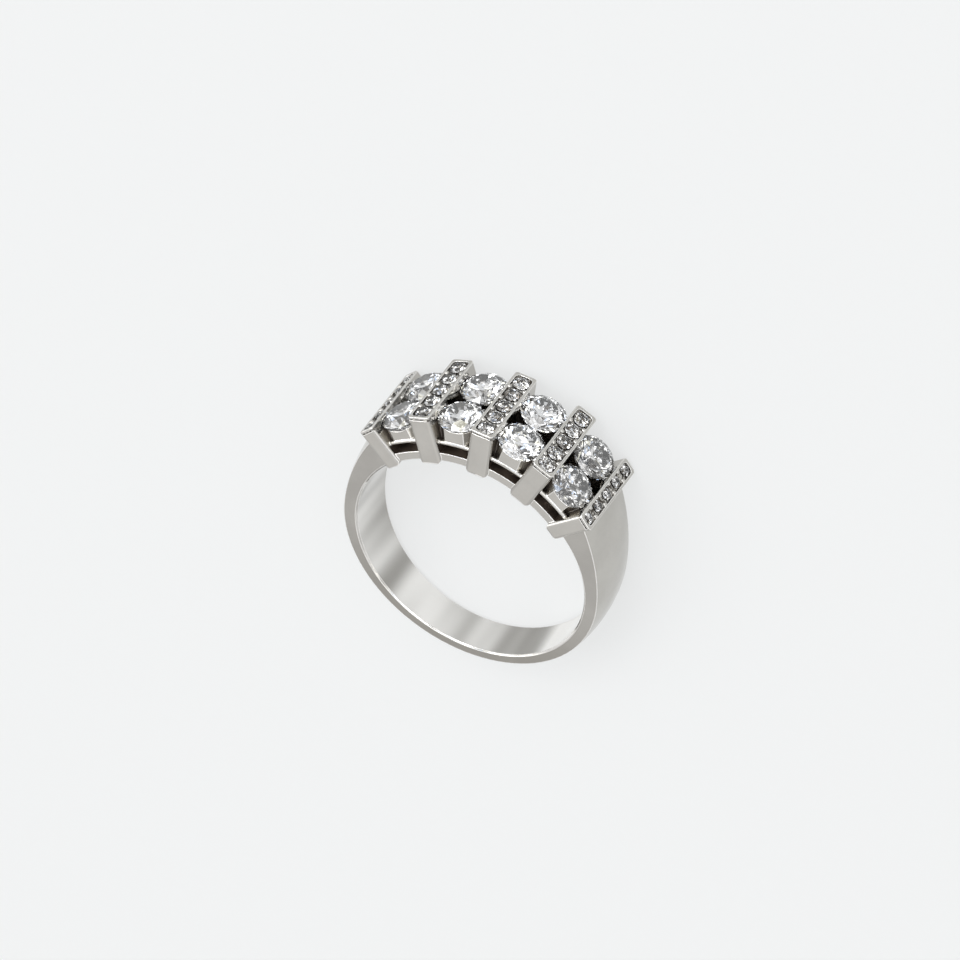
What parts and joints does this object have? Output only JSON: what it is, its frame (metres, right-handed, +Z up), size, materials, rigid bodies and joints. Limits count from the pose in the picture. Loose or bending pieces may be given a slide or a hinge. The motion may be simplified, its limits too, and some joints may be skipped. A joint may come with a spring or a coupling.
{
  "type": "bar set band ring",
  "caption": "Domed white metal ring with raised bars across its head, each set with small brilliants, and pairs of larger brilliants held between the bars.",
  "frame": {"origin": "centre of the finger hole, at the middle of the ring's width", "axes": "the ring lies on its side, +Z up; the finger hole's axis leans 7.1 degrees from +Z towards +Y; the head with the bars points to -Y and the bottom of the shank to +Y; +X along the head"},
  "size_m": [0.0194, 0.0219, 0.0075],
  "materials": {
    "white_gold": "polished, rhodium plated",
    "main_diamond": "polished facets",
    "bar_diamond": "polished facets"
  },
  "bodies": {
    "root": {"band": "white_gold", "main_stone_1": "main_diamond", "main_stone_2": "main_diamond", "main_stone_3": "main_diamond", "main_stone_4": "main_diamond", "main_stone_5": "main_diamond", "main_stone_6": "main_diamond", "main_stone_7": "main_diamond", "main_stone_8": "main_diamond", "bar_stone_1": "bar_diamond", "bar_stone_2": "bar_diamond", "bar_stone_3": "bar_diamond", "bar_stone_4": "bar_diamond", "bar_stone_5": "bar_diamond", "bar_stone_6": "bar_diamond", "bar_stone_7": "bar_diamond", "bar_stone_8": "bar_diamond", "bar_stone_9": "bar_diamond", "bar_stone_10": "bar_diamond", "bar_stone_11": "bar_diamond", "bar_stone_12": "bar_diamond", "bar_stone_13": "bar_diamond", "bar_stone_14": "bar_diamond", "bar_stone_15": "bar_diamond", "bar_stone_16": "bar_diamond", "bar_stone_17": "bar_diamond", "bar_stone_18": "bar_diamond", "bar_stone_19": "bar_diamond", "bar_stone_20": "bar_diamond", "bar_stone_21": "bar_diamond", "bar_stone_22": "bar_diamond", "bar_stone_23": "bar_diamond", "bar_stone_24": "bar_diamond", "bar_stone_25": "bar_diamond"}
  },
  "joints": []
}
